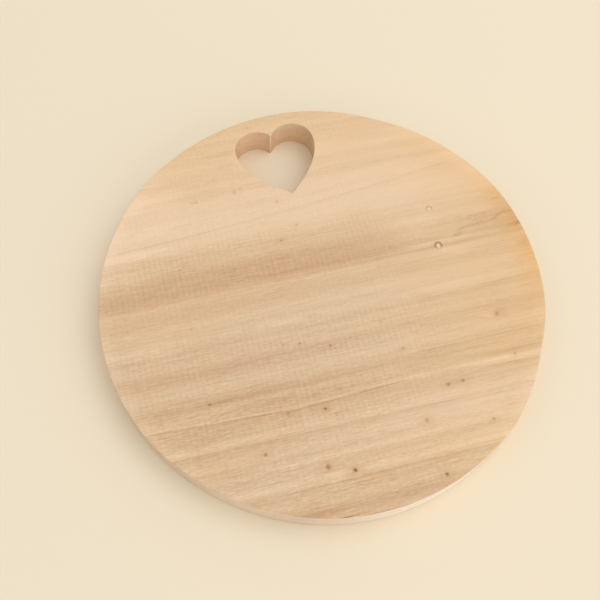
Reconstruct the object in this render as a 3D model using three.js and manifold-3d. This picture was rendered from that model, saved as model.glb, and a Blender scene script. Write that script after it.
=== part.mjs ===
import * as THREE from 'three';
import { mergeVertices } from 'three/addons/utils/BufferGeometryUtils.js';
import Module from 'manifold-3d';

// Round cutting board: staves glued edge to edge, planed flat, sawn round, with a heart sawn through.
// Millimetres. X runs along the grain, Y across it towards the heart, Z up. The origin is on the
// underside, at the centre that the round outline was drawn from.

// The round panel
const boardRadius = 150;
const boardThickness = 22;
const arrisRadius = 1;
const rimStepDegrees = 2.5;
const arrisSteps = 2;

// Where the saw left the drawn circle: bearing and spread in degrees, rise over the circle in millimetres
const sawWander = [
  { bearing: 20, spread: 14, rise: 1.2 },
  { bearing: 60, spread: 12, rise: -1.2 },
  { bearing: 136, spread: 9, rise: 0.6 },
  { bearing: 205, spread: 12, rise: 0.5 },
  { bearing: 308, spread: 6, rise: 0.9 },
  { bearing: 330, spread: 9, rise: -1.6 },
];

// The staves and the glue between them, laid from the rim beside the heart towards the far rim
const edgeStaveWidth = 28.4;
const staveWidth = 34.75;
const glueThickness = 0.25;
const leastFarStave = 12;

// The heart, upright on its tip, then leaned and set in from the rim
const heartWidth = 58.4;
const heartHeight = 58.4;
const heartCuspDepth = 7.2;
const heartTipAngle = 106;
const heartRimGap = 11.4;
const heartBearing = 91.2;
const heartLean = 4.4;
const heartCurveSteps = 10;

// Finishes
const staveTones = [0xdfc19b, 0xe2c7a4, 0xe0c6a2, 0xd4b48f, 0xdbbf99, 0xdec49f, 0xd9bb95, 0xdcc09a, 0xd6b48c];
const woodRoughness = 0.72;
const glueTone = 0xb98f62;
const glueRoughness = 0.6;

const wasm = await Module();
wasm.setup();

const radians = THREE.MathUtils.degToRad;

// A closed three.js geometry as a solid that can be cut
function solidOf(geometry) {
  geometry.deleteAttribute('normal');
  geometry.deleteAttribute('uv');
  const merged = mergeVertices(geometry);
  return new wasm.Manifold(new wasm.Mesh({
    numProp: 3,
    vertProperties: new Float32Array(merged.attributes.position.array),
    triVerts: new Uint32Array(merged.index.array),
  }));
}

// A cut solid as a three.js geometry with flat faces
function geometryOf(solid) {
  const { numProp, vertProperties, triVerts } = solid.getMesh();
  const shared = new THREE.BufferGeometry();
  shared.setAttribute('position', new THREE.BufferAttribute(vertProperties, numProp));
  shared.setIndex(new THREE.BufferAttribute(triVerts, 1));
  const faceted = shared.toNonIndexed();
  faceted.computeVertexNormals();
  return faceted;
}

// Radius of the sawn rim at a bearing from +X
function rimRadius(bearing) {
  const wander = sawWander.map((bend) => {
    const turn = THREE.MathUtils.euclideanModulo(bearing - bend.bearing + 180, 360) - 180;
    return bend.rise * Math.exp(-((turn / bend.spread) ** 2));
  });
  return wander.reduce((radius, rise) => radius + rise, boardRadius);
}

function boardOutline() {
  const points = [];
  for (let bearing = 0; bearing < 360; bearing += rimStepDegrees) {
    const radius = rimRadius(bearing);
    points.push(new THREE.Vector2(
      radius * Math.cos(radians(bearing)),
      radius * Math.sin(radians(bearing)),
    ));
  }
  return new THREE.Shape(points);
}

// Each lobe is an arc that passes through the cusp, and each side a curve from the lobe to the tip.
function heartOutline() {
  const halfWidth = heartWidth / 2;
  const lobeRadius = halfWidth + heartCuspDepth - Math.sqrt(2 * halfWidth * heartCuspDepth);
  const lobeX = halfWidth - lobeRadius;
  const lobeY = heartHeight - lobeRadius;
  const cuspAngle = Math.acos(-lobeX / lobeRadius);
  const sideControlY = halfWidth / Math.tan(radians(heartTipAngle / 2));

  const lean = radians(heartLean);
  const tipRadius = boardRadius - heartRimGap - heartHeight;
  const tip = new THREE.Vector2(tipRadius, 0).rotateAround(new THREE.Vector2(), radians(heartBearing));
  const place = (x, y) => new THREE.Vector2(x, y).rotateAround(new THREE.Vector2(), lean).add(tip);

  const right = place(halfWidth, lobeY);
  const rightControl = place(halfWidth, sideControlY);
  const rightLobe = place(lobeX, lobeY);
  const leftLobe = place(-lobeX, lobeY);
  const leftControl = place(-halfWidth, sideControlY);

  const outline = new THREE.Path();
  outline.moveTo(tip.x, tip.y);
  outline.quadraticCurveTo(rightControl.x, rightControl.y, right.x, right.y);
  outline.absarc(rightLobe.x, rightLobe.y, lobeRadius, lean, lean + cuspAngle);
  outline.absarc(leftLobe.x, leftLobe.y, lobeRadius, lean + Math.PI - cuspAngle, lean + Math.PI);
  outline.quadraticCurveTo(leftControl.x, leftControl.y, tip.x, tip.y);
  return outline;
}

// The glued panel after sawing, with every arris softened
function sawnPanel() {
  const shape = boardOutline();
  shape.holes.push(heartOutline());
  const geometry = new THREE.ExtrudeGeometry(shape, {
    depth: boardThickness - 2 * arrisRadius,
    bevelEnabled: true,
    bevelThickness: arrisRadius,
    bevelSize: arrisRadius,
    bevelOffset: -arrisRadius,
    bevelSegments: arrisSteps,
    curveSegments: heartCurveSteps,
  });
  geometry.translate(0, 0, arrisRadius);
  return solidOf(geometry);
}

// The strip of space between two lines along the grain, longer and taller than the board
function strip(lowY, highY) {
  const size = new THREE.Vector3(4 * boardRadius, highY - lowY, 4 * boardThickness);
  const place = new THREE.Matrix4().makeTranslation(0, (lowY + highY) / 2, 0).scale(size);
  return solidOf(new THREE.BoxGeometry(1, 1, 1).applyMatrix4(place));
}

// Middles of the glue joints, from the heart's side to the far side
function jointLines() {
  const lines = [];
  let line = boardRadius - edgeStaveWidth - glueThickness / 2;
  while (line > leastFarStave - boardRadius) {
    lines.push(line);
    line -= staveWidth + glueThickness;
  }
  return lines;
}

// One mesh for each body that the panel leaves in a strip: the heart can saw a strip into several.
function stripMeshes(panel, lowY, highY, name, material) {
  const bodies = panel.intersect(strip(lowY, highY)).decompose();
  const middleX = (body) => (body.boundingBox().min[0] + body.boundingBox().max[0]) / 2;
  bodies.sort((one, other) => middleX(one) - middleX(other));
  const sides = bodies.length === 2 ? ['left', 'right'] : ['left', 'middle', 'right'];
  return bodies.map((body, index) => {
    const mesh = new THREE.Mesh(geometryOf(body), material.clone());
    mesh.name = bodies.length === 1 ? name : `${name}_${sides[index]}`;
    return mesh;
  });
}

function cuttingBoard() {
  const panel = sawnPanel();
  const lines = jointLines();
  const outside = 2 * boardRadius;
  const staves = new THREE.Group();
  const glueLines = new THREE.Group();

  for (let index = 0; index <= lines.length; index += 1) {
    const highY = index === 0 ? outside : lines[index - 1] - glueThickness / 2;
    const lowY = index === lines.length ? -outside : lines[index] + glueThickness / 2;
    const wood = new THREE.MeshStandardMaterial({
      color: staveTones[index % staveTones.length],
      roughness: woodRoughness,
      metalness: 0,
    });
    staves.add(...stripMeshes(panel, lowY, highY, `stave_${index + 1}`, wood));
  }

  const glue = new THREE.MeshStandardMaterial({ color: glueTone, roughness: glueRoughness, metalness: 0 });
  lines.forEach((line, index) => {
    const lowY = line - glueThickness / 2;
    const highY = line + glueThickness / 2;
    glueLines.add(...stripMeshes(panel, lowY, highY, `glue_line_${index + 1}`, glue));
  });

  const board = new THREE.Group();
  board.add(staves, glueLines);
  return board;
}

export default cuttingBoard();
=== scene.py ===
import math
from functools import partial
from inspect import signature

import bmesh
import bpy
from mathutils import Color, Matrix, Vector, noise
from mathutils.geometry import delaunay_2d_cdt
from mathutils.kdtree import KDTree


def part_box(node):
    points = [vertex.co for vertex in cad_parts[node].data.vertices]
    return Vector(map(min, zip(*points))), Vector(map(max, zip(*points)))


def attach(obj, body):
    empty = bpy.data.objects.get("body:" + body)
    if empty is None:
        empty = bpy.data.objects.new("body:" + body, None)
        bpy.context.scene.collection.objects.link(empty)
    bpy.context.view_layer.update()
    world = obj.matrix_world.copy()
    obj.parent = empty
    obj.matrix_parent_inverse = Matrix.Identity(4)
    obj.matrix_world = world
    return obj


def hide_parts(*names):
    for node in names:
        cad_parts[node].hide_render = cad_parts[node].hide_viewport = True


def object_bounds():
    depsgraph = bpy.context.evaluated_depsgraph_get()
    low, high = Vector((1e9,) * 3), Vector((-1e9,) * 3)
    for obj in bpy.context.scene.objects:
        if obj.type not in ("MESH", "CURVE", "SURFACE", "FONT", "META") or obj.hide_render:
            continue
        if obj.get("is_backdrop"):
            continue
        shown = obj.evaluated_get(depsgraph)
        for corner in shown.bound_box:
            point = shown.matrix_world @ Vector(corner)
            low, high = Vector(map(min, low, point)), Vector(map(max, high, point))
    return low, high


# Round cutting board of glued staves with a heart sawn through it.
# X runs along the grain, Y across it towards the heart, Z up from the underside.

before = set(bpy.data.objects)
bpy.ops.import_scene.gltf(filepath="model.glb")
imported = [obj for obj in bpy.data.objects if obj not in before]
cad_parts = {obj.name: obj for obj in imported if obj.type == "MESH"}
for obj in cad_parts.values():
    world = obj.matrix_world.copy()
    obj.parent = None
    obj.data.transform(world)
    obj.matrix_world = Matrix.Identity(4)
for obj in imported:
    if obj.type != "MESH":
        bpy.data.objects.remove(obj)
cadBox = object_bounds()
mm = 0.001  # sizes are written as millimetres times mm
sameSpot = 1e-7  # points closer than this are one point
print("frame loaded with", len(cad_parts), "nodes")


# Marks that both the mesh and the wood's colour show, in millimetres

def pinKnot(x, y, size, dark, tall=1):
    return {"x": x, "y": y, "size": size, "dark": dark, "tall": tall}


pinKnots = [pinKnot(*knot) for knot in (
    (-21.2, 142.2, 0.9, 0.22), (-14.3, 75.6, 0.9, 0.3), (-5.4, 54.3, 1, 0.26),
    (-18.7, 44.4, 1.3, 0.34), (-90.4, 37.6, 0.6, 0.28), (-53.8, 30.3, 0.9, 0.16),
    (53.3, 22, 1.2, 0.18), (13.4, 5.8, 0.8, 0.14), (-91.5, -6.8, 0.9, 0.22),
    (0.8, -29.2, 0.7, 0.18), (31.2, -29.7, 1, 0.22), (-35.5, -31.2, 0.7, 0.44),
    (-24.6, -32.7, 0.8, 0.48), (-5.6, -38.8, 1.1, 0.54), (108.8, -42.3, 2.1, 0.35),
    (40.1, -51.6, 1.6, 0.3), (-90, -59.8, 1.4, 0.42), (110.8, -72, 1.3, 0.3),
    (-43.5, -77, 1.2, 0.25), (-19.8, -79.5, 1.4, 0.68), (71.3, -81.7, 1.6, 0.42),
    (61.4, -82.1, 1.6, 0.48), (-63.1, -99.3, 1.6, 0.53), (40.5, -101.5, 1.6, 0.35, 1.3),
    (82.2, -110.7, 1.2, 0.38), (-27.5, -115.7, 1.8, 0.52, 1.5), (-11.9, -121.3, 1.7, 0.92),
    (42.2, -137.1, 1.4, 0.7),
)]
knotDent = {"reach": 1.3, "depth": 0.2 * mm}  # reach in knot sizes, depth at the darkest knot

# two small round dents, with painted shade in a ring and painted light in the middle
roundDents = [
    {"x": 89.4, "y": 45.8, "size": 2.5, "tall": 1, "dark": 0.3, "pale": 0.5, "depth": 0.1 * mm},
    {"x": 86.6, "y": 16, "size": 3.1, "tall": 1.1, "dark": 0.68, "pale": 0.6, "depth": 0.22 * mm},
]

# a short split along the grain that starts at the near rim
rimSplit = {
    "fromX": -24.5,
    "toX": -9,
    "y": -147.35,
    "width": 0.5,
    "depth": 0.4 * mm,
    "step": 0.7,
    "rows": (-1.2, -0.6, 0, 0.6, 1.2),  # mesh rows along it, counted in widths
}


# The sawn panel: one fine mesh of the whole board, later cut into staves and glue films

sawnRound = {
    "radius": 150 * mm,
    "thickness": 22 * mm,
    "rimPoints": 720,
    "wallRings": 8,
    # where the saw left the circle: bearing and spread in degrees, rise over the circle
    "wander": [
        (20, 14, 1.2 * mm), (60, 12, -1.2 * mm), (136, 9, 0.6 * mm),
        (205, 12, 0.5 * mm), (308, 6, 0.9 * mm), (330, 9, -1.6 * mm),
    ],
    "sawRipple": 0.05 * mm,
    "ripplePitch": 4 * mm,
    "rippleUp": 0.1,  # the ripple changes this much slower up the wall than along it
}

softArris = {
    "rimRadius": 0.8 * mm,
    "heartRadius": 0.45 * mm,
    "steps": 5,
    "uneven": 0.4,  # how much of the radius the sanding left standing here and there
    "patchSize": 12 * mm,
    "sharpOver": 32,  # degrees from which an edge is shaded sharp
}

heartHole = {
    "width": 58.4 * mm,
    "height": 58.4 * mm,
    "cuspDepth": 7.2 * mm,
    "tipAngle": 106,
    "rimGap": 11.4 * mm,
    "bearing": 91.2,
    "lean": 4.4,
    "sidePoints": 48,
    "lobePoints": 52,
    "noseWidth": 1.2 * mm,  # the sharp point between the lobes is worn to a narrow nose
    "noseRound": 0.2 * mm,
}

planedFace = {
    "ribPitch": 3.7 * mm,  # ripples that the planer's knives leave across the grain
    "ribDepth": 0.03 * mm,
    "ribFade": 4 * mm,  # how far from a sawn edge they reach their full depth
    "ribWander": 2.2,
    "wanderSize": (60 * mm, 30 * mm),
    "patchy": 0.45,  # share of their depth that comes and goes
    "patchSize": (50 * mm, 12 * mm),
    "rowGap": 2 * mm,
    "pointsPerRib": 4,
    "edgeClear": 0.8 * mm,
    "dentClear": 1.25,  # the even points stay this many dent sizes clear
    "markRings": 6,
    "markSpokes": 16,
}


def smoothStep(low, high, value):
    share = min(max((value - low) / (high - low), 0), 1)
    return share * share * (3 - 2 * share)


def onCircle(angle, radius):
    return Vector((math.cos(angle), math.sin(angle))) * radius


def rimRadius(bearing):
    radius = sawnRound["radius"]
    for middle, spread, rise in sawnRound["wander"]:
        turn = (bearing - middle + 180) % 360 - 180
        radius += rise * math.exp(-(turn / spread) ** 2)
    return radius


def rimOutline():
    count = sawnRound["rimPoints"]
    bearings = [360 * step / count for step in range(count)]
    return [onCircle(math.radians(bearing), rimRadius(bearing)) for bearing in bearings]


def heartPlace(point):
    # from the upright heart on its tip to its place in the board
    tipRadius = sawnRound["radius"] - heartHole["rimGap"] - heartHole["height"]
    tip = onCircle(math.radians(heartHole["bearing"]), tipRadius)
    return tip + Matrix.Rotation(math.radians(heartHole["lean"]), 2) @ point


def lobeCircle():
    half = heartHole["width"] / 2
    cuspDepth = heartHole["cuspDepth"]
    radius = half + cuspDepth - math.sqrt(2 * half * cuspDepth)
    return Vector((half - radius, heartHole["height"] - radius)), radius


def heartNose():
    middle, radius = lobeCircle()
    angle = math.acos((heartHole["noseWidth"] / 2 - middle.x) / radius)
    return angle, Vector((0, middle.y + radius * math.sin(angle) - heartHole["noseRound"]))


def heartOutline():
    half = heartHole["width"] / 2
    middle, radius = lobeCircle()
    noseAngle, nose = heartNose()
    control = Vector((half, half / math.tan(math.radians(heartHole["tipAngle"] / 2))))
    sideEnd = Vector((half, middle.y))
    right = []
    for step in range(heartHole["sidePoints"]):
        share = step / heartHole["sidePoints"]
        right.append(2 * share * (1 - share) * control + share * share * sideEnd)
    for step in range(heartHole["lobePoints"] + 1):
        right.append(middle + onCircle(noseAngle * step / heartHole["lobePoints"], radius))
    left = [Vector((-point.x, point.y)) for point in reversed(right[1:])]
    return [heartPlace(point) for point in right + [nose] + left]


def outwardMitres(points):
    mitres = []
    count = len(points)
    for index, point in enumerate(points):
        before = (point - points[index - 1]).normalized()
        after = (points[(index + 1) % count] - point).normalized()
        first = Vector((before.y, -before.x))
        second = Vector((after.y, -after.x))
        mitres.append((first + second) / (1 + first.dot(second)))
    return mitres


def edgeProfile(radius):
    # how far each ring lies in from the sawn wall, and its height, from underside to top
    thickness = sawnRound["thickness"]
    rings = sawnRound["wallRings"]
    angles = [math.pi / 2 * step / softArris["steps"] for step in range(softArris["steps"] + 1)]
    quarter = [(radius * (1 - math.sin(angle)), radius * (1 - math.cos(angle))) for angle in angles]
    wall = [(0, radius + (thickness - 2 * radius) * ring / rings) for ring in range(1, rings)]
    top = [(inset, thickness - height) for inset, height in reversed(quarter)]
    return quarter + wall + top


def softNoise(point, height, size):
    return 0.5 + 0.5 * noise.noise(Vector((point.x, point.y, height)) / size)


def sawnWall(panel, outline, radius, woodIsInside):
    mitres = outwardMitres(outline)
    side = -1 if woodIsInside else 1
    thickness = sawnRound["thickness"]
    half = thickness / 2
    rings = []
    for inset, height in edgeProfile(radius):
        ring = []
        for point, mitre in zip(outline, mitres):
            standing = softNoise(point, half if height > half else 0, softArris["patchSize"])
            share = 1 - softArris["uneven"] * standing
            ripple = softNoise(point, height * sawnRound["rippleUp"], sawnRound["ripplePitch"])
            into = inset * share + sawnRound["sawRipple"] * ripple
            spot = point + mitre * into * side
            toFace = half - abs(height - half)
            toFace = toFace * share if toFace <= radius else toFace
            z = thickness - toFace if height > half else toFace
            ring.append(panel.verts.new((spot.x, spot.y, z)))
        rings.append(ring)
    count = len(outline)
    for lower, upper in zip(rings, rings[1:]):
        for index in range(count):
            follow = (index + 1) % count
            corners = [lower[index], lower[follow], upper[follow], upper[index]]
            panel.faces.new(corners if woodIsInside else corners[::-1])
    return rings


def insideOutline(point, outline):
    inside = False
    for index, end in enumerate(outline):
        start = outline[index - 1]
        if (start.y > point.y) != (end.y > point.y):
            crossing = start.x + (point.y - start.y) / (end.y - start.y) * (end.x - start.x)
            inside = inside != (point.x < crossing)
    return inside


def finderOf(points):
    finder = KDTree(len(points))
    for index, point in enumerate(points):
        finder.insert(point.to_3d(), index)
    finder.balance()
    return finder


def clearOfEdges(rim, heart):
    # a function for how far a point lies from the nearest sawn edge, 0 off the wood
    edgeFinder = finderOf(rim + heart)
    heartMiddle = heartPlace(Vector((0, heartHole["height"] / 2)))

    def clearance(point):
        bearing = math.degrees(math.atan2(point.y, point.x))
        if point.length > rimRadius(bearing):
            return 0
        nearHeart = (point - heartMiddle).length < heartHole["height"]
        if nearHeart and insideOutline(point, heart):
            return 0
        return edgeFinder.find(point.to_3d())[2]

    return clearance


def dentFor(mark, reach, depth):
    return Vector((mark["x"], mark["y"])) * mm, reach * mm, depth, mark["tall"]


# every dent in the planed faces: place, reach, depth, height against width
dents = []
for mark in pinKnots:
    dents.append(dentFor(mark, mark["size"] * knotDent["reach"], knotDent["depth"] * mark["dark"]))
dents += [dentFor(mark, mark["size"], mark["depth"]) for mark in roundDents]
dentFinder = finderOf([dent[0] for dent in dents])


def dentAt(point):
    # depth of the nearest dent, and how far out in it the point lies, 1 at its edge
    place, reach, depth, tall = dents[dentFinder.find(point.to_3d())[1]]
    return depth, Vector((point.x - place.x, (point.y - place.y) / tall)).length / reach


def splitShare(point):
    # 1 in the middle of the rim split, 0 off it; it narrows along its length
    along = (point.x / mm - rimSplit["fromX"]) / (rimSplit["toX"] - rimSplit["fromX"])
    if not 0 <= along <= 1:
        return 0
    width = rimSplit["width"] * mm * (1.1 - along)
    return (1 - smoothStep(0, width, abs(point.y - rimSplit["y"] * mm))) * (1 - along)


def rowHeights(strips):
    rows = []
    for low, high in strips:
        count = max(1, round((high - low) / planedFace["rowGap"]))
        rows += [low + (high - low) * step / count for step in range(count + 1)]
    return rows


def facePoints(rows, clearance):
    points = []
    step = planedFace["ribPitch"] / planedFace["pointsPerRib"]
    reach = sawnRound["radius"]
    clear = planedFace["edgeClear"] + softArris["rimRadius"]
    for number, y in enumerate(rows):
        x = -reach + step * (0.5 if number % 2 else 0)
        while x < reach:
            point = Vector((x, y))
            if clearance(point) > clear and dentAt(point)[1] > planedFace["dentClear"]:
                points.append(point)
            x += step
    # rings of finer points round every dent, and rows of them along the split
    rings = planedFace["markRings"]
    spokes = planedFace["markSpokes"]
    for place, dentReach, depth, tall in dents:
        points.append(place)
        for ring in range(1, rings + 1):
            for spoke in range(spokes):
                angle = 2 * math.pi * (spoke + 0.5 * (ring % 2)) / spokes
                offset = Vector((math.cos(angle), math.sin(angle) * tall)) * dentReach * ring / rings
                points.append(place + offset)
    x = rimSplit["fromX"]
    while x < rimSplit["toX"]:
        for row in rimSplit["rows"]:
            point = Vector((x, rimSplit["y"] + row * rimSplit["width"])) * mm
            if softArris["rimRadius"] * 1.2 < clearance(point) < clear:
                points.append(point)
        x += rimSplit["step"]
    return points


def unevenness(point, size, layer):
    return noise.noise(Vector((point.x / size[0], point.y / size[1], layer)))


def faceDrop(point, clear, upward):
    # how far the face lies below its plane: planer ribs, dents, the split
    wander = planedFace["ribWander"] * unevenness(point, planedFace["wanderSize"], layer=1.7)
    wave = math.sin(2 * math.pi * point.x / planedFace["ribPitch"] + wander)
    patchy = planedFace["patchy"]
    strength = 1 - patchy + patchy * unevenness(point, planedFace["patchSize"], layer=8.1)
    strength *= smoothStep(softArris["rimRadius"], planedFace["ribFade"], clear)
    drop = planedFace["ribDepth"] * (0.5 + 0.5 * wave) * strength
    depth, out = dentAt(point)
    drop += depth * (1 - smoothStep(0, 1, out))
    if upward:
        drop += rimSplit["depth"] * splitShare(point)
    return drop


def capFace(panel, rimRing, heartRing, points, clearance, upward):
    ringVerts = rimRing + heartRing
    corners = [Vector((vert.co.x, vert.co.y)) for vert in ringVerts]
    edges = []
    first = 0
    for ring in (rimRing, heartRing):
        edges += [(first + index, first + (index + 1) % len(ring)) for index in range(len(ring))]
        first += len(ring)
    insideEdges = 1
    found = delaunay_2d_cdt(corners + points, edges, [], insideEdges, sameSpot)
    heartVerts = set(heartRing)
    heartEdge = corners[len(rimRing):]
    verts = []
    for spot, sources in zip(found[0], found[3]):
        if sources and sources[0] < len(ringVerts):
            verts.append(ringVerts[sources[0]])
            continue
        drop = faceDrop(spot, clearance(spot), upward)
        z = sawnRound["thickness"] - drop if upward else drop
        verts.append(panel.verts.new((spot.x, spot.y, z)))
    for triangle in found[2]:
        corner = [verts[index] for index in triangle]
        middle = sum((vert.co for vert in corner), Vector()) / 3
        if heartVerts.issuperset(corner) and insideOutline(middle, heartEdge):
            continue
        panel.faces.new(corner if upward else corner[::-1])


def wholePanel(strips):
    panel = bmesh.new()
    rim = rimOutline()
    heart = heartOutline()
    rimRings = sawnWall(panel, rim, softArris["rimRadius"], True)
    heartRings = sawnWall(panel, heart, softArris["heartRadius"], False)
    clearance = clearOfEdges(rim, heart)
    points = facePoints(rowHeights(strips), clearance)
    capFace(panel, rimRings[-1], heartRings[-1], points, clearance, True)
    capFace(panel, rimRings[0], heartRings[0], points, clearance, False)
    panel.normal_update()
    return panel


def cutPanel(panel, heights):
    reach = 3 * planedFace["rowGap"]  # only faces this near a cut are looked at
    for y in heights:
        around = [face for face in panel.faces if any(abs(vert.co.y - y) < reach for vert in face.verts)]
        nearby = set(around)
        for face in around:
            nearby.update(face.edges)
            nearby.update(face.verts)
        bmesh.ops.bisect_plane(
            panel, geom=list(nearby), dist=sameSpot, plane_co=(0, y, 0), plane_no=(0, 1, 0),
        )


def cutPiece(panel, name):
    # one node's share of the cut panel, closed again at the cuts
    low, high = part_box(name)
    spare = 2 * mm  # the fine rim may bulge a little past the node's ends
    piece = bmesh.new()
    copies = {}
    for face in panel.faces:
        middle = face.calc_center_median()
        if not (low.y < middle.y < high.y and low.x - spare < middle.x < high.x + spare):
            continue
        for vert in face.verts:
            if vert not in copies:
                copies[vert] = piece.verts.new(vert.co)
        piece.faces.new([copies[vert] for vert in face.verts])
    openEdges = [edge for edge in piece.edges if edge.is_boundary]
    bmesh.ops.holes_fill(piece, edges=openEdges, sides=0)
    bmesh.ops.recalc_face_normals(piece, faces=piece.faces)
    return piece


nodeNames = sorted(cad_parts)
staveNames = [name for name in nodeNames if name.startswith("stave")]
glueNames = [name for name in nodeNames if name.startswith("glue")]
strips = sorted({tuple(round(corner.y, 6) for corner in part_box(name)) for name in staveNames})
panel = wholePanel(strips)
print("panel has", len(panel.faces), "faces")
cutHeights = sorted({round(corner.y, 6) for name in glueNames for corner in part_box(name)})
cutPanel(panel, cutHeights)
print("panel cut at", len(cutHeights), "lines")


# Nodes: the helpers find the tree through the sockets that they are given

def setInputs(node, values):
    for socket, value in values.items():
        if isinstance(value, bpy.types.NodeSocket):
            node.id_data.links.new(value, node.inputs[socket])
        else:
            node.inputs[socket].default_value = value


def addNode(tree, kind, values=None, **settings):
    made = tree.nodes.new(kind)
    for name, value in settings.items():
        setattr(made, name, value)
    setInputs(made, values or {})
    return made


def treeOf(values):
    return next(value.id_data for value in values if isinstance(value, bpy.types.NodeSocket))


def compute(operation, *values):
    return addNode(treeOf(values), "ShaderNodeMath", dict(enumerate(values)), operation=operation).outputs[0]


plus = partial(compute, "ADD")
minus = partial(compute, "SUBTRACT")
over = partial(compute, "DIVIDE")
timesPlus = partial(compute, "MULTIPLY_ADD")
sizeOf = partial(compute, "ABSOLUTE")


def times(first, *others):
    for other in others:
        first = compute("MULTIPLY", first, other)
    return first


def fade(value, start, end):
    # 0 before start, 1 after end, smooth between them; start may be the larger
    limits = {"Value": value, "From Min": start, "From Max": end}
    return addNode(value.id_data, "ShaderNodeMapRange", limits, interpolation_type="SMOOTHSTEP").outputs[0]


def split(vector):
    return addNode(vector.id_data, "ShaderNodeSeparateXYZ", {0: vector}).outputs[:]


def join(x, y, z):
    return addNode(treeOf((x, y, z)), "ShaderNodeCombineXYZ", {0: x, 1: y, 2: z}).outputs[0]


def lengthOf(x, y):
    offset = join(x, y, 0)
    return addNode(offset.id_data, "ShaderNodeVectorMath", {0: offset}, operation="LENGTH").outputs["Value"]


def roughField(place, size, seed, detail=2):
    # noise from about -1 to 1, in spots as long, wide and deep as size says
    tree = place.id_data
    spot = addNode(tree, "ShaderNodeVectorMath", {0: place, 1: size}, operation="DIVIDE").outputs[0]
    values = {"Vector": spot, "W": seed, "Scale": 1, "Detail": detail, "Roughness": 0.55}
    field = addNode(tree, "ShaderNodeTexNoise", values, noise_dimensions="4D")
    return timesPlus(field.outputs[0], 2, -1)


def mixColour(factor, first, second, blend="MIX"):
    values = {0: factor, 6: first, 7: second}
    return addNode(factor.id_data, "ShaderNodeMix", values, data_type="RGBA", blend_type=blend).outputs[2]


def toneRamp(value, tones, easing="LINEAR"):
    ramp = addNode(value.id_data, "ShaderNodeValToRGB", {0: value})
    ramp.color_ramp.interpolation = easing
    stops = ramp.color_ramp.elements
    while len(stops) < len(tones):
        stops.new(0.5)
    for stop, (position, colour) in zip(stops, tones):
        stop.position = position
        stop.color = colour
    return ramp.outputs["Color"]


def rampAcross(across, bands):
    # a value that follows bands across the board
    first = bands[0][0]
    last = bands[-1][0]
    limits = {"Value": across, "From Min": first, "From Max": last}
    share = addNode(across.id_data, "ShaderNodeMapRange", limits).outputs[0]
    greys = [((y - first) / (last - first), (value, value, value, 1)) for y, value in bands]
    return toneRamp(share, greys, "EASE")


def nodeGroup(build):
    # makes a function into a node group: its arguments are the inputs, None for a place, and what it
    # returns by name are the outputs. A call of it then places the group
    tree = bpy.data.node_groups.new(build.__name__, "ShaderNodeTree")
    arguments = signature(build).parameters
    for label, argument in arguments.items():
        kind = "NodeSocketVector" if argument.default is None else "NodeSocketFloat"
        socket = tree.interface.new_socket(label, in_out="INPUT", socket_type=kind)
        if argument.default is not None:
            socket.default_value = argument.default
    start = tree.nodes.new("NodeGroupInput").outputs
    made = build(*start[:len(arguments)])
    for label, result in made.items():
        kind = "NodeSocketVector" if result.type == "VECTOR" else "NodeSocketFloat"
        tree.interface.new_socket(label, in_out="OUTPUT", socket_type=kind)
    addNode(tree, "NodeGroupOutput", made)

    def placed(*values, **named):
        given = {**dict(enumerate(values)), **named}
        return addNode(treeOf(values), "ShaderNodeGroup", given, node_tree=tree).outputs

    return placed


# Shared finishes as node groups, in millimetres

@nodeGroup
def grainFrame(place=None, tilt=0, ringSlope=0.6, ringBend=0, wave=0.8, low=0, width=35, seed=0):
    # grain: a place as along, across and depth in one stave's grain. across: folded back into its width
    x, y, z = split(place)
    depth = minus(z, sawnRound["thickness"] / mm)
    slow = roughField(place, (70, 24, 24), seed)
    steep = timesPlus(depth, ringBend, ringSlope)
    leaning = plus(y, timesPlus(slow, wave, times(depth, steep)))
    folded = compute("PINGPONG", minus(leaning, low), width)
    cosine = compute("COSINE", tilt)
    sine = compute("SINE", tilt)
    along = timesPlus(x, cosine, times(leaning, sine))
    across = minus(times(leaning, cosine), times(x, sine))
    return {"grain": join(along, across, depth), "across": plus(folded, low)}


@nodeGroup
def fibreStreaks(grain=None, width=1, length=60, seed=0):
    # long soft streaks along the grain, from about -1 to 1
    return {"streak": roughField(grain, join(length, width, width), seed)}


@nodeGroup
def growthLines(grain=None, pitch=4, seed=0):
    # growth rings cut lengthwise: each darkens to a thin line that comes and goes
    across = split(grain)[1]
    drift = roughField(grain, (130, 11, 45), seed)
    ring = compute("FRACT", timesPlus(drift, 1.4, over(across, pitch)))
    seen = roughField(grain, (30, 2.5, 40), seed)
    return {"line": times(compute("POWER", ring, 3), fade(ring, 1, 0.93), fade(seen, -0.25, 0.35))}


@nodeGroup
def vesselDashes(grain=None, width=0.45, length=8, cover=0.3, seed=0):
    # short dark dashes where the planer cut open the wood's vessels, in loose clusters
    field = roughField(grain, join(length, width, width), seed, detail=1)
    cluster = roughField(grain, (26, 5, 5), seed)
    edge = minus(minus(0.5, times(cover, 0.8)), times(cluster, 0.35))
    return {"dash": fade(field, edge, plus(edge, 0.35))}


@nodeGroup
def knotMark(place=None, atX=0, atY=0, size=1.2, tall=1):
    # a small round knot: dark core, softer halo drawn out along the grain
    x, y = split(place)[:2]
    offX = minus(x, atX)
    offY = over(minus(y, atY), tall)
    ragged = times(roughField(place, (1, 1, 1), seed=4), size)

    def spot(shareX, inner, outer, fray):
        out = timesPlus(ragged, fray, lengthOf(times(offX, shareX), offY))
        return fade(out, times(size, outer), times(size, inner))

    return {
        "core": spot(shareX=0.9, inner=0.1, outer=1.15, fray=0.5),
        "halo": spot(shareX=0.5, inner=0.4, outer=3, fray=0.9),
    }


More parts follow.
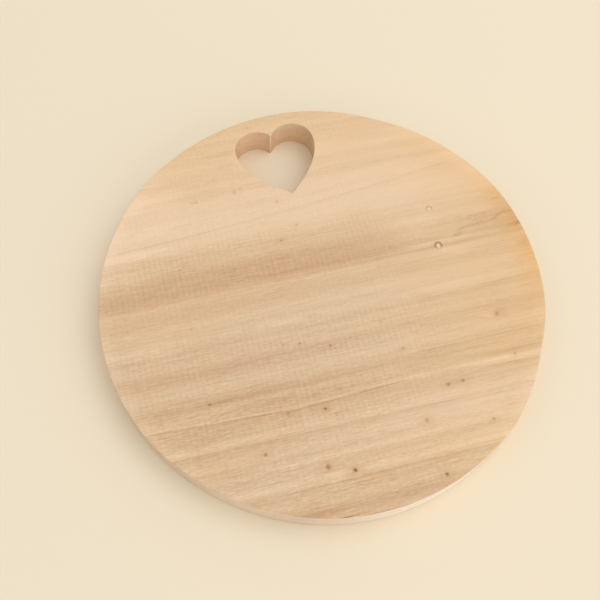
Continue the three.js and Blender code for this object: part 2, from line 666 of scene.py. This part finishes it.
@nodeGroup
def grainLine(place=None, startX=-100, endX=100, atY=0, slope=0, width=0.5, bend=0):
    # line: a thin line with the grain, straight or gently bent, broken here and there.
    # below: the darker wood under it
    x, y = split(place)[:2]
    fadeLength = 22
    level = timesPlus(x, timesPlus(x, bend, slope), atY)
    tremble = roughField(join(x, atY, 0), (16, 1, 1), seed=2, detail=3)
    under = minus(timesPlus(tremble, 0.6, level), y)
    body = fade(sizeOf(under), width, 0)
    within = times(fade(x, startX, plus(startX, fadeLength)), fade(x, endX, minus(endX, fadeLength)))
    broken = roughField(join(x, atY, 5), (11, 1, 1), seed=7, detail=3)
    broken = timesPlus(fade(broken, -0.5, 0.3), 0.75, 0.25)
    below = times(fade(under, -0.3, 0.3), fade(under, 5, 0), within)
    return {"line": times(body, within, broken), "below": below}


@nodeGroup
def softPatch(place=None, atX=0, atY=0, long=20, wide=5, slope=0, speckle=0, seed=0):
    # a soft patch of another shade, frayed along the grain, with gaps where it is speckled
    x, y = split(place)[:2]
    offX = minus(x, atX)
    offY = minus(minus(y, atY), times(offX, slope))
    fray = roughField(place, (18, 2, 9), seed, detail=3)
    out = timesPlus(fray, 0.4, lengthOf(over(offX, long), over(offY, wide)))
    whole = fade(out, 1.15, 0.1)
    gaps = times(fade(roughField(place, (2.6, 1.1, 9), seed), 0.35, -0.35), speckle)
    return {"mask": minus(whole, times(whole, gaps))}


@nodeGroup
def dentMark(place=None, atX=0, atY=0, size=2.5, tall=1):
    # a small round dent with painted shading: a dark ring of painted shade, strongest at the far wall, and a
    # pale middle of painted light
    x, y, z = split(place)
    offX = over(minus(x, atX), size)
    offY = over(over(minus(y, atY), size), tall)
    ring = fade(sizeOf(minus(lengthOf(offX, offY), 0.72)), 0.4, 0.05)
    farSide = timesPlus(fade(offY, -0.75, 0.1), 0.8, 0.2)
    onTop = fade(z, 18, 20)
    middle = fade(lengthOf(times(offX, 1.5), plus(offY, 0.12)), 0.75, 0.3)
    return {"ring": times(ring, farSide, onTop), "middle": times(middle, onTop)}


@nodeGroup
def planerRibs(place=None, pitch=planedFace["ribPitch"] / mm):
    # painted shade of the planer's ripples, which the mesh also has: faint thin dark ribs across the grain,
    # broken up by the fibres and fainter to the right
    x = split(place)[0]
    wander = roughField(place, (60, 30, 60), seed=3, detail=1)
    phase = timesPlus(over(x, pitch), 2 * math.pi, times(wander, 2))
    wave = timesPlus(compute("SINE", phase), 0.5, 0.5)
    rib = minus(compute("POWER", wave, 2.5), 0.3)
    broken = fade(roughField(place, (3.2, 2, 9), seed=8), -0.4, 0.45)
    patchy = fade(roughField(place, (34, 9, 34), seed=5), -0.6, 0.5)
    fainter = timesPlus(fade(x, 100, 30), 0.75, 0.25)
    return {"rib": times(rib, times(broken, patchy, fainter))}


# where fades start and end: out to the rim, and to its near side, which is painted paler as painted light
sawCuts = {
    "rimOut": (142, 144),
    "paintedLitRimY": (-95, -130),
    "paintedLitRimLeft": (-60, 25),
    "paintedLitRimRight": (100, 45),
}


@nodeGroup
def sawnFaces(place=None):
    # sawn: where the saw made the surface. rim: the outer wall. Its near side faces the light from the front
    # right and is painted paler: painted light.
    # endGrain: how squarely the saw crossed the grain. kerf: its lines. layer: streaks through the wall
    x, y = split(place)[:2]
    normal = split(addNode(place.id_data, "ShaderNodeNewGeometry").outputs["Normal"])
    sawn = fade(sizeOf(normal[2]), 0.8, 0.3)
    rim = times(fade(lengthOf(x, y), *sawCuts["rimOut"]), sawn)
    sanded = times(rim, fade(y, *sawCuts["paintedLitRimY"]))
    sanded = times(sanded, fade(x, *sawCuts["paintedLitRimLeft"]), fade(x, *sawCuts["paintedLitRimRight"]))
    return {
        "sawn": sawn,
        "rim": rim,
        "sanded": sanded,
        "endGrain": times(fade(sizeOf(normal[0]), 0.45, 1), sawn),
        "kerf": times(roughField(place, (0.9, 0.9, 14), seed=6), sawn),
        "layer": times(roughField(place, (45, 30, 3.4), seed=9), sawn),
    }


# how yellow the wood is, in bands across the board and in spots: x, y, half length, half width, amount.
# A pair is where a fade starts and ends
yellowing = {
    "bands": [
        (-150, 0.27), (-120, 0.15), (-100, 0.19), (-70, 0.25), (-45, 0.03), (-15, 0), (5, 0.25),
        (25, 0.33), (45, 0.3), (62, 0.2), (80, 0.28), (120, 0.6), (150, 0.6),
    ],
    "spots": [
        # the first three spots warm the right side: painted warm light from the right
        (140, -35, 130, 75, 0.75), (125, 80, 60, 55, 0.55), (95, -122, 130, 24, 0.5),
        (-125, -20, 120, 50, 0.22), (-110, -105, 40, 14, 0.2),
    ],
    "clouds": 0.16,
    # painted warm light on the rim at the right, where it is painted golden and a little paler
    "paintedWarmLightOut": (126, 150),
    "paintedWarmLightX": (70, 130),
    "paintedWarmLightY": 15,
    "paintedWarmLightBeside": (75, 25),
    "paintedWarmLightPale": 0.08,
    "endsOut": (138, 149),
    "endsX": (60, 120),
    "paleEnds": 0.12,
}


@nodeGroup
def warmWood(place=None):
    # warm: how yellow the wood is, with painted warm light on its right side. The golden rim at the right is
    # painted warm light.
    # lighter: the last millimetres before the sawn ends, and the painted warm light on the right rim
    x, y = split(place)[:2]
    warm = rampAcross(y, yellowing["bands"])
    for atX, atY, long, wide, amount in yellowing["spots"]:
        warm = timesPlus(softPatch(place, atX, atY, long, wide)["mask"], amount, warm)
    warm = timesPlus(roughField(place, (16, 7, 16), seed=2), yellowing["clouds"], warm)
    out = lengthOf(x, y)
    beside = sizeOf(minus(y, yellowing["paintedWarmLightY"]))
    glow = times(fade(out, *yellowing["paintedWarmLightOut"]), fade(x, *yellowing["paintedWarmLightX"]))
    glow = times(glow, fade(beside, *yellowing["paintedWarmLightBeside"]))
    ends = times(fade(sizeOf(x), *yellowing["endsX"]), fade(out, *yellowing["endsOut"]))
    ends = times(minus(ends, times(ends, glow)), yellowing["paleEnds"])
    return {"warm": warm, "glow": glow, "lighter": timesPlus(glow, yellowing["paintedWarmLightPale"], ends)}


print("finish groups made:", len(bpy.data.node_groups))


def tone(red, green, blue):
    # a colour picked on screen, 0 to 255, as Blender's linear colour
    return (*Color((red / 255, green / 255, blue / 255)).from_srgb_to_scene_linear(), 1)


# The wood that all staves share
wood = {
    # shade from the darkest wood, 0, to the palest, 1
    "tones": [
        (0, tone(196, 158, 123)), (0.25, tone(208, 174, 140)), (0.5, tone(219, 190, 156)),
        (0.75, tone(231, 202, 170)), (1, tone(241, 213, 184)),
    ],
    # streaks: width and length in millimetres, shift of the shade
    "streaks": [(9, 40, 0.1), (5, 200, 0.1), (1.2, 60, 0.18), (0.9, 18, 0.26), (0.75, 5, 0.36)],
    "shortStreak": 30,  # length under which a streak is short
    "shortFade": (90, -50),  # x where the short ones are fewest, and where all are there
    "smallPatch": 16,
    "speckle": 0.8,  # of the small patches
    "lineTone": tone(168, 112, 62),
    "dashTone": tone(176, 122, 72),
    "knotHalo": tone(188, 134, 80),
    "knotCore": tone(126, 64, 12),
    # painted shade in the dents' rings
    "dentShadeTone": tone(140, 100, 62),
    "paleTone": tone(246, 222, 192),
    # the painted shade inside the splits
    "splitShadeTone": tone(92, 58, 32),
    "warmTone": tone(255, 243, 218),
    # tint of the painted warm light on the right rim
    "paintedWarmLightTone": tone(253, 241, 218),
    "wallTone": tone(234, 209, 186),
    "rimTone": tone(242, 232, 214),
    # pale tone of the painted light on the rim's near side and of the painted highlight on the heart's nose
    "paintedLightTone": tone(254, 239, 222),
    "endTone": tone(186, 154, 120),
    "haloShare": 0.36,  # of a knot's darkness
    "belowShare": 0.25,  # of a grain line's strength, in the wood under it
    # how strongly each of these shows
    "dashes": 0.18,
    # strength of the painted shade of the planer ribs
    "ribShadeStrength": 0.24,
    "sawnRings": 0.12,  # added to the growth rings on the saw cuts
    "sawnLayers": 0.35,
    "walls": 0.35,
    "wallKerf": 0.12,
    "rim": 0.36,
    "endGrain": 0.36,
    "endRings": 0.26,
    "endPores": 0.12,
    # painted light on the rim's near side: its strength, and how much the layers and saw lines break it up
    "sanded": 0.8,
    "paintedLitRimLayers": 0.15,
    "paintedLitRimKerf": 0.1,
    # painted shade in a split: the heights where it starts and where it is full
    "splitShadeHeight": (20, 21.2),  # where a split's dark starts and is full
    "roughness": 0.68,
    "roughStreaks": 0.08,
    "roughSawn": 0.08,
    "specular": 0.2,
    "bump": 0.5,
    "bumpDepth": 0.12 * mm,
    # shares of the bump's height
    "finestRelief": 0.3,
    "fineRelief": 0.2,
    "dashRelief": 0.4,
    "kerfRelief": 0.4,
}


def newMaterial(name, specular):
    # a material, its shader and the place in millimetres
    material = bpy.data.materials.new(name)
    material.use_nodes = True
    tree = material.node_tree
    shader = tree.nodes["Principled BSDF"]
    setInputs(shader, {"Specular IOR Level": specular})
    here = addNode(tree, "ShaderNodeTexCoord").outputs["Object"]
    place = addNode(tree, "ShaderNodeVectorMath", {0: here, "Scale": 1 / mm}, operation="SCALE").outputs[0]
    return material, shader, place


def coverWith(shader, colour, rough, relief, finish):
    values = {"Strength": finish["bump"], "Distance": finish["bumpDepth"], "Height": relief}
    raised = addNode(shader.id_data, "ShaderNodeBump", values).outputs["Normal"]
    setInputs(shader, {"Base Color": colour, "Roughness": rough, "Normal": raised})


def tint(colour, mask, amount, toneName):
    return mixColour(times(mask, amount), colour, wood[toneName])


def addDent(colour, place, mark):
    # painted shade in the dent's ring and painted light in its middle
    masks = dentMark(place, mark["x"], mark["y"], mark["size"], mark["tall"])
    colour = tint(colour, masks["ring"], mark["dark"], "dentShadeTone")
    return tint(colour, masks["middle"], mark["pale"], "paleTone")


def addMarks(colour, place, low, high):
    # the knots and dents in or beside this stave
    def near(mark):
        reach = 3 * mark["size"]
        return low - reach < mark["y"] < high + reach

    for mark in filter(near, pinKnots):
        masks = knotMark(place, mark["x"], mark["y"], mark["size"], mark["tall"])
        colour = tint(colour, masks["halo"], wood["haloShare"] * mark["dark"], "knotHalo")
        colour = tint(colour, masks["core"], mark["dark"], "knotCore")
    for mark in filter(near, roundDents):
        colour = addDent(colour, place, mark)
    return colour


def addLine(colour, place, startX, endX, atY, slope, width, strength, bend=0):
    line = grainLine(place, startX, endX, atY, slope, width, bend)
    if strength < 0:
        return tint(colour, line["line"], -strength, "paleTone")
    colour = tint(colour, line["line"], strength, "lineTone")
    return tint(colour, line["below"], wood["belowShare"] * strength, "lineTone")


def addPatch(shade, place, seed, atX, atY, long, wide, shift, slope=0):
    speckle = wood["speckle"] if long < wood["smallPatch"] else 0
    patch = softPatch(place, atX, atY, long, wide, slope, speckle, seed)
    return timesPlus(patch["mask"], shift, shade)


def addWarmth(colour, warmth):
    colour = mixColour(warmth["warm"], colour, wood["warmTone"], "MULTIPLY")
    # painted warm light: the rim at the right tinted golden
    return mixColour(warmth["glow"], colour, wood["paintedWarmLightTone"], "MULTIPLY")


def addSawCuts(colour, faces, endGrain):
    # the heart's walls, the rim, the end grain on it, and painted light on the rim's near side
    wall = timesPlus(faces["kerf"], wood["wallKerf"], times(faces["sawn"], wood["walls"]))
    colour = mixColour(wall, colour, wood["wallTone"])
    colour = tint(colour, faces["rim"], wood["rim"], "rimTone")
    colour = mixColour(endGrain, colour, wood["endTone"])
    # painted light: the rim's near side mixed toward a pale tone
    sanded = timesPlus(faces["layer"], wood["paintedLitRimLayers"], wood["sanded"])
    sanded = timesPlus(faces["kerf"], wood["paintedLitRimKerf"], sanded)
    return tint(colour, faces["sanded"], sanded, "paintedLightTone")


def staveStreaks(stave, x, grain):
    # the short ones come in patches, and fewer of them towards the right
    streaks = []
    for number, (width, length, strength) in enumerate(wood["streaks"]):
        streak = fibreStreaks(grain, width, length, stave["seed"] + number)["streak"]
        if length < wood["shortStreak"]:
            amount = timesPlus(fade(x, *wood["shortFade"]), 0.55, 0.4)
            streak = times(streak, timesPlus(fade(streaks[0], 0.3, -0.4), 0.7, amount))
        streaks.append(streak)
    return streaks


def woodMaterial(name, node, stave):
    material, shader, place = newMaterial(name, wood["specular"])
    x, y, z = split(place)
    seed = stave["seed"]
    low, high = (corner.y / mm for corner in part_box(node))
    lie = grainFrame(
        place, math.radians(stave["tilt"]), stave["ringSlope"], stave["ringBend"], stave["wave"],
        low, high - low, seed,
    )
    grain = lie["grain"]
    faces = sawnFaces(place)
    warmth = warmWood(place)
    streaks = staveStreaks(stave, x, grain)
    growth = growthLines(grain, stave["ringPitch"], seed)["line"]
    dash = vesselDashes(grain, cover=stave["dashes"], seed=seed + 9)["dash"]

    # shade: bands, streaks, growth lines, paler ends, patches, layers on the saw cuts, painted shade of the
    # planer ribs
    shade = rampAcross(lie["across"], stave["bands"])
    for streak, (width, length, strength) in zip(streaks, wood["streaks"]):
        shade = timesPlus(streak, strength * stave["figure"], shade)
    shade = minus(shade, times(growth, timesPlus(faces["sawn"], wood["sawnRings"], stave["rings"])))
    shade = timesPlus(x, stave["paleEnd"] * mm / sawnRound["radius"], shade)
    shade = plus(shade, warmth["lighter"])
    for patch in stave["patches"]:
        shade = addPatch(shade, place, seed, *patch)
    shade = timesPlus(faces["layer"], wood["sawnLayers"], shade)
    shade = timesPlus(planerRibs(place)["rib"], -wood["ribShadeStrength"] * stave["ribShadeStrength"], shade)

    # colour: thin marks, warmer wood with painted warm light on the right, saw cuts with rings and pores in
    # the end grain, painted highlights
    colour = toneRamp(shade, wood["tones"])
    colour = tint(colour, dash, wood["dashes"], "dashTone")
    for line in stave.get("lines", []):
        colour = addLine(colour, place, *line)
    colour = addMarks(colour, place, low, high)
    # the splits: painted shade inside them, on the top face only
    for startX, endX, atY, width, strength in stave.get("splits", []):
        crack = grainLine(place, startX, endX, atY, width=width)["line"]
        colour = tint(colour, times(crack, strength), fade(z, *wood["splitShadeHeight"]), "splitShadeTone")
    colour = addWarmth(colour, warmth)
    endGrain = timesPlus(growth, wood["endRings"], timesPlus(dash, wood["endPores"], wood["endGrain"]))
    colour = addSawCuts(colour, faces, times(endGrain, faces["endGrain"]))
    # painted highlight: the worn nose between the heart's lobes, painted pale where it catches the light
    for atX, atY, reach, strength in stave.get("paintedHighlights", []):
        worn = softPatch(place, atX, atY, reach, reach, seed=seed)["mask"]
        colour = tint(colour, worn, strength, "paintedLightTone")

    fine, finest = streaks[-2:]
    rough = timesPlus(fine, wood["roughStreaks"], wood["roughness"])
    rough = timesPlus(faces["sawn"], wood["roughSawn"], rough)
    relief = timesPlus(finest, wood["finestRelief"], times(fine, wood["fineRelief"]))
    relief = minus(relief, times(dash, wood["dashRelief"]))
    relief = timesPlus(faces["kerf"], wood["kerfRelief"], relief)
    coverWith(shader, colour, rough, relief, wood)
    return material


def addObject(name, data):
    made = bpy.data.objects.new(name, data)
    bpy.context.scene.collection.objects.link(made)
    return made


def finishPiece(piece, name, material, slot):
    for face in piece.faces:
        face.smooth = True
    mesh = bpy.data.meshes.new(name + "_look")
    piece.to_mesh(mesh)
    piece.free()
    mesh.set_sharp_from_angle(angle=math.radians(softArris["sharpOver"]))
    mesh.materials.append(material)
    made = addObject(name + "_look", mesh)
    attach(made, "root")
    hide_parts(name)


def makeStave(number, stave):
    # the heart saws the second stave in two, so a stave can have two nodes
    nodes = [name for name in staveNames if name.split("_")[1] == str(number)]
    material = woodMaterial(f"stave{number}_wood", nodes[0], stave)
    for name in nodes:
        finishPiece(cutPiece(panel, name), name, material, "board_wood")
        print("stave made:", name)


# Each stave, from the heart's side. bands: place across the board and shade.
# patches: x, y, half length, half width, shift of the shade, slope where it has one.
# lines: from x, to x, y at x = 0, slope, half width, strength below 0 for a pale one, bend where it has one.
# splits: from x, to x, y, half width, strength of the painted shade in them. Painted highlights: x, y, reach,
# strength.

nosePlace = heartPlace(heartNose()[1]) / mm

makeStave(1, {
    "seed": 11, "tilt": 0.4, "ringSlope": 0.9, "ringBend": 0.02, "wave": 0.8, "ringPitch": 5,
    "rings": 0.08, "figure": 0.55, "ribShadeStrength": 0.45, "dashes": 0.15, "paleEnd": 0.02,
    "bands": [(121.6, 0.7), (127, 0.7), (133, 0.65), (136, 0.75), (143, 0.65), (150, 0.65)],
    "patches": [(-41, 124, 7, 5, -0.2), (-50, 122, 16, 5, -0.1)],
    # a painted highlight on the worn nose between the heart's lobes
    "paintedHighlights": [(nosePlace.x, nosePlace.y, 1, 0.35)],
})

makeStave(2, {
    "seed": 23, "tilt": 0.8, "ringSlope": -0.7, "ringBend": -0.015, "wave": 0.8, "ringPitch": 6,
    "rings": 0.08, "figure": 0.5, "ribShadeStrength": 0.5, "dashes": 0.15, "paleEnd": 0.04,
    "bands": [(86.6, 0.8), (92, 0.67), (97, 0.75), (104, 0.7), (108, 0.8), (115, 0.8), (121.4, 0.7)],
    "patches": [
        (-115, 95, 42, 11, 0.28), (-70.6, 87.8, 4.2, 1.9, -0.55), (-60, 88.4, 15, 3, -0.16),
        (-42, 90.2, 1.9, 3.6, -0.4), (-37.6, 91, 2, 3.4, -0.34), (-42, 97, 2, 3, -0.15),
        (-56, 102.3, 6, 1.6, -0.18), (-59.7, 95.7, 5, 1.8, -0.12), (60, 115.5, 42, 5, -0.09),
        (-60, 110, 35, 7, -0.1), (-43, 113, 8, 7, -0.16), (39, 93, 6, 1.4, -0.1), (65, 93, 5, 1.2, -0.1),
        (60, 95, 34, 6, -0.07),
    ],
    "lines": [(-100, -30, 111.4, 0, 0.6, -0.2)],
})

makeStave(3, {
    "seed": 37, "tilt": 4.6, "ringSlope": 0.8, "ringBend": 0.015, "wave": 0.8, "ringPitch": 7,
    "rings": 0.09, "figure": 0.5, "ribShadeStrength": 0.55, "dashes": 0.1, "paleEnd": 0.02,
    "bands": [(51.6, 0.65), (56, 0.75), (66, 0.8), (74, 0.8), (78, 0.75), (84, 0.8), (86.4, 0.8)],
    "patches": [
        (-122, 54, 44, 7, 0.24), (-110, 74, 45, 14, 0.11), (98, 85.5, 2.6, 1.3, -0.18),
        (107, 80, 4, 1.4, -0.2, 0.08), (88, 78, 17, 6, 0.09), (38, 54, 18, 7, -0.08),
    ],
    "lines": [(-145, 128, 68.1, 0.095, 1.1, 0.14, 0.0002)],
})

makeStave(4, {
    "seed": 41, "tilt": -0.3, "ringSlope": -0.5, "ringBend": -0.02, "wave": 1.4, "ringPitch": 4.5,
    "rings": 0.1, "figure": 0.75, "ribShadeStrength": 0.9, "dashes": 0.25, "paleEnd": 0.05,
    "bands": [(16.6, 0.35), (20.5, 0.25), (25, 0.3), (32, 0.3), (39, 0.5), (45, 0.5), (51.4, 0.65)],
    "patches": [
        (95, 28, 62, 13, 0.2), (72, 39, 30, 16, 0.12), (-134, 38, 34, 14, 0.22), (-15, 25, 75, 12, -0.08),
        (110, 42, 45, 12, 0.12), (96, 18.6, 58, 3, 0.28), (102.5, 21.5, 6, 2.4, -0.3, 0.2),
        (108, 25.5, 7, 3.2, -0.26, 0.2), (122, 26.9, 14, 1.5, -0.36, 0.06), (136, 30, 7, 2, -0.38, 0.4),
        (143, 31.7, 8, 1.5, -0.26, 0.05), (114, 31.5, 2.2, 1.4, -0.25), (124, 33.8, 12, 1.8, -0.2, 0.1),
        (120, 29, 14, 5, -0.1, 0.2), (149, 21.3, 14, 2.4, -0.42, 0.12), (138, 43.2, 5, 1.4, -0.26),
        (140, 49, 9, 4, -0.14), (139, 38, 9, 4, -0.14), (-26, 29, 5, 8, 0.11),
    ],
    "lines": [(-45, 70, 20.5, 0.004, 0.7, 0.2)],
})

makeStave(5, {
    "seed": 53, "tilt": 0.5, "ringSlope": 0.6, "ringBend": 0.02, "wave": 1, "ringPitch": 4,
    "rings": 0.12, "figure": 0.64, "ribShadeStrength": 0.53, "dashes": 0.25, "paleEnd": 0.07,
    "bands": [
        (-18.4, 0.57), (-14, 0.65), (-10, 0.55), (-5, 0.64), (3, 0.49), (8, 0.52), (12.5, 0.57), (16.4, 0.35),
    ],
    "patches": [
        (-28, 0, 110, 60, -0.08), (92, -12, 40, 7, 0.05), (95, 10, 22, 5, 0.12), (-34, -16, 18, 3, 0.1),
        (-15, -15.6, 3.4, 1.2, -0.3, -0.1), (128, 7.5, 5, 1.5, -0.14), (147, 5, 8, 3.5, -0.16),
        (91, 11.8, 5, 1.8, 0.16), (-125, -16.5, 34, 3, 0.1), (-10, -16, 10, 3, -0.18),
    ],
    "lines": [
        (-88, -15, 9, 0.018, 0.7, -0.18), (-24, 72, 12.4, 0.02, 0.8, -0.2),
        (10, 66, 14.6, 0.03, 0.6, 0.18), (126, 160, -3.9, 0, 0.6, 0.3),
    ],
})

makeStave(6, {
    "seed": 67, "tilt": 0.2, "ringSlope": -0.8, "ringBend": -0.02, "wave": 1, "ringPitch": 3.6,
    "rings": 0.13, "figure": 0.8, "ribShadeStrength": 0.9, "dashes": 0.35, "paleEnd": 0.1,
    "bands": [
        (-53.4, 0.5), (-49, 0.6), (-46, 0.55), (-42, 0.45), (-36, 0.4), (-31, 0.55), (-25, 0.55),
        (-22, 0.45), (-18.7, 0.55),
    ],
    "patches": [
        (-28, -36, 110, 60, -0.08), (70, -40, 70, 8, 0.08), (-85, -40, 50, 5, -0.08),
        (112, -40, 5, 3, -0.14), (38, -22, 9, 0.9, -0.22, 0.05), (-120, -20.5, 34, 3, 0.12),
        (104, -41.5, 6, 4, 0.3), (12, -48.5, 13, 4, 0.1, -0.35), (-13, -29, 11, 5, -0.08),
    ],
    "lines": [(92, 156, -19.1, 0, 0.7, 0.25)],
})

makeStave(7, {
    "seed": 71, "tilt": -0.4, "ringSlope": 0.7, "ringBend": 0.02, "wave": 1, "ringPitch": 3.4,
    "rings": 0.14, "figure": 1.05, "ribShadeStrength": 0.85, "dashes": 0.4, "paleEnd": 0.1,
    "bands": [(-88.4, 0.65), (-83, 0.5), (-76, 0.45), (-70, 0.44), (-64, 0.49), (-59.5, 0.35), (-53.7, 0.5)],
    "patches": [
        (-28, -71, 110, 60, -0.08), (-115, -68, 45, 4, 0.16), (-60, -59.6, 70, 3.5, -0.12),
        (48, -72.2, 36, 3, 0.16, -0.03), (105, -73.4, 46, 3.2, 0.34, -0.045),
        (66, -81.8, 9, 2.4, -0.14), (-79, -59.9, 13, 1.8, -0.12), (110, -60, 50, 5, 0.1),
        (-100, -80, 40, 4, -0.08), (56, -63.5, 24, 3, -0.12), (25, -55.6, 11, 3, 0.1, -0.2),
    ],
    "lines": [
        (-140, -32, -77.2, -0.047, 0.7, 0.42), (-56, 40, -74.5, 0.043, 0.7, 0.5),
        (82, 170, -72.2, -0.045, 0.8, 0.16), (80, 150, -67.2, -0.012, 1.2, 0.26),
        (40, 150, -57.4, 0.01, 1.2, 0.14), (-140, -40, -75.7, -0.047, 0.9, -0.3),
        (-52, 60, -72.9, 0.035, 0.9, -0.25),
    ],
})

makeStave(8, {
    "seed": 83, "tilt": -0.5, "ringSlope": -0.6, "ringBend": -0.015, "wave": 1, "ringPitch": 3.8,
    "rings": 0.13, "figure": 0.95, "ribShadeStrength": 0.56, "dashes": 0.35, "paleEnd": 0.18,
    "bands": [
        (-123.4, 0.65), (-121.5, 0.75), (-118, 0.6), (-113, 0.55), (-110, 0.7), (-105, 0.6), (-100, 0.65),
        (-92, 0.5), (-88.7, 0.65),
    ],
    "patches": [
        (-28, -106, 110, 60, -0.08), (-95, -108, 40, 7, -0.08), (25, -92, 16, 5, 0.08),
        (-60, -122, 30, 2.5, 0.1), (-18, -121, 16, 3, 0.12),
    ],
    "lines": [
        (-135, 78, -92, -0.0115, 0.7, 0.2), (-80, 60, -104.5, 0.01, 0.7, 0.12),
        (-20, 90, -111.6, 0, 0.7, 0.16),
    ],
})

makeStave(9, {
    "seed": 97, "tilt": 0.6, "ringSlope": 0.8, "ringBend": 0.02, "wave": 1.2, "ringPitch": 3.2,
    "rings": 0.14, "figure": 1.15, "ribShadeStrength": 0.7, "dashes": 0.4, "paleEnd": 0.12,
    "bands": [(-150, 0.5), (-141.5, 0.34), (-134, 0.56), (-131, 0.5), (-126, 0.47), (-123.7, 0.6)],
    "patches": [
        (-28, -136, 110, 60, -0.08), (-46, -141.5, 36, 3, -0.2), (57, -130, 30, 2, 0.12),
        (19, -143, 8, 4, -0.16), (45, -139, 12, 3, 0.1), (-32, -124.6, 30, 1.6, 0.14),
    ],
    "lines": [(-60, 75, -130.8, 0.006, 0.8, 0.09), (-52, 80, -126, 0, 0.7, 0.22)],
    "splits": [(-50, -6, -147.4, 0.5, 0.85), (-24, 24, -149.3, 0.4, 0.4)],
})


# The glue films in the joints

setGlue = {
    "tone": tone(221, 188, 153),
    "darkTone": tone(206, 169, 131),
    "paleTone": tone(232, 202, 170),
    "pale": 0.8,  # how much paler it is on the heart's side
    "paleFrom": (35, 60),  # y where that starts and is full
    "endGrain": 0.5,
    "roughness": 0.6,
    "roughStreaks": 0.1,
    "bump": 0.4,
    "bumpDepth": 0.05 * mm,
    "sunk": 0.012 * mm,  # glue shrinks a little below the wood as it sets
}


def glueMaterial():
    material, shader, place = newMaterial("setGlue", wood["specular"])
    streak = fibreStreaks(place, width=0.6, length=14, seed=5)["streak"]
    colour = mixColour(fade(streak, 0, 0.5), setGlue["tone"], setGlue["darkTone"])
    paleSide = fade(split(place)[1], *setGlue["paleFrom"])
    colour = mixColour(times(paleSide, setGlue["pale"]), colour, setGlue["paleTone"])
    colour = addWarmth(colour, warmWood(place))
    for dent in roundDents:
        colour = addDent(colour, place, dent)
    faces = sawnFaces(place)
    colour = addSawCuts(colour, faces, times(faces["endGrain"], setGlue["endGrain"]))
    rough = timesPlus(streak, setGlue["roughStreaks"], setGlue["roughness"])
    coverWith(shader, colour, rough, streak, setGlue)
    return material


glueFinish = glueMaterial()
halfThick = sawnRound["thickness"] / 2
for name in glueNames:
    film = cutPiece(panel, name)
    for vert in film.verts:
        vert.co.z = halfThick + (vert.co.z - halfThick) * (1 - setGlue["sunk"] / halfThick)
    finishPiece(film, name, glueFinish, "wood_glue")
panel.free()
print("glue films made:", len(glueNames))


# Floor, light and camera

backdrop = {
    "floorTone": tone(239, 225, 199),
    "farTone": tone(240, 226, 200),  # as the lit floor looks
    "roughness": 0.9,
    "specular": 0.2,
    "level": -0.05 * mm,
    "reach": 20,
    "fadeFrom": 600,  # millimetres
    "fadeTo": 2500,
}


def seenByEye(tree):
    # 1 for what the camera sees, straight or in a reflection
    path = addNode(tree, "ShaderNodeLightPath").outputs
    seen = compute("MAXIMUM", path["Is Camera Ray"], path["Is Glossy Ray"])
    return compute("MAXIMUM", seen, path["Is Transmission Ray"])


def mixSurface(factor, first, second, output):
    tree = factor.id_data
    both = addNode(tree, "ShaderNodeMixShader", {0: factor, 1: first.outputs[0], 2: second.outputs[0]})
    setInputs(tree.nodes[output], {"Surface": both.outputs[0]})


def paleFloor():
    mesh = bpy.data.meshes.new("floor")
    reach = backdrop["reach"]
    sides = [(-reach, -reach), (reach, -reach), (reach, reach), (-reach, reach)]
    mesh.from_pydata([(x, y, backdrop["level"]) for x, y in sides], [], [(0, 1, 2, 3)])
    material, shader, place = newMaterial("paleFloor", backdrop["specular"])
    tree = shader.id_data
    setInputs(shader, {"Base Color": backdrop["floorTone"], "Roughness": backdrop["roughness"]})
    x, y = split(place)[:2]
    far = fade(lengthOf(x, y), backdrop["fadeFrom"], backdrop["fadeTo"])
    even = addNode(tree, "ShaderNodeEmission", {"Color": backdrop["farTone"]})
    mixSurface(times(far, seenByEye(tree)), shader, even, "Material Output")
    mesh.materials.append(material)
    floor = addObject("floor", mesh)
    floor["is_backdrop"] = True


# a soft fill all round, a soft key from the right, a low window from the front right
studioLight = {
    "fill": 0.765,
    "areas": [
        {"name": "softKey", "place": Vector((1.27, 0, 2.72)), "size": 2.6, "power": 23},
        {"name": "lowWindow", "place": Vector((1.36, -2.35, 1.27)), "size": 2.2, "power": 14},
    ],
}


def softLight():
    world = bpy.data.worlds.new("softFill")
    world.use_nodes = True
    tree = world.node_tree
    fill = tree.nodes["Background"]
    setInputs(fill, {"Color": (1, 1, 1, 1), "Strength": studioLight["fill"]})
    behind = addNode(tree, "ShaderNodeBackground", {"Color": backdrop["farTone"]})
    mixSurface(seenByEye(tree), fill, behind, "World Output")
    bpy.context.scene.world = world
    for area in studioLight["areas"]:
        lamp = bpy.data.lights.new(area["name"], "AREA")
        lamp.shape = "DISK"
        lamp.size = area["size"]
        lamp.energy = area["power"]
        light = addObject(area["name"], lamp)
        light.location = area["place"]
        light.rotation_euler = (-area["place"]).to_track_quat("-Z", "Y").to_euler()


photoCamera = {
    "place": Vector((-88.82, -223.45, 521.83)) * mm,
    "aim": Vector((-17.02, -2.48, 22)) * mm,
    "lens": 49.48,
    "roll": 4.33,
}


def setCamera():
    lens = bpy.data.cameras.new("photoCamera")
    lens.lens = photoCamera["lens"]
    camera = addObject("photoCamera", lens)
    camera.location = photoCamera["place"]
    aimed = (photoCamera["aim"] - photoCamera["place"]).to_track_quat("-Z", "Y")
    camera.rotation_euler = aimed.to_euler()
    camera.rotation_euler.rotate_axis("Z", math.radians(photoCamera["roll"]))
    bpy.context.scene.camera = camera


paleFloor()
softLight()
setCamera()
bpy.context.scene.view_settings.view_transform = "Standard"
print("floor, light and camera set")

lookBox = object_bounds()
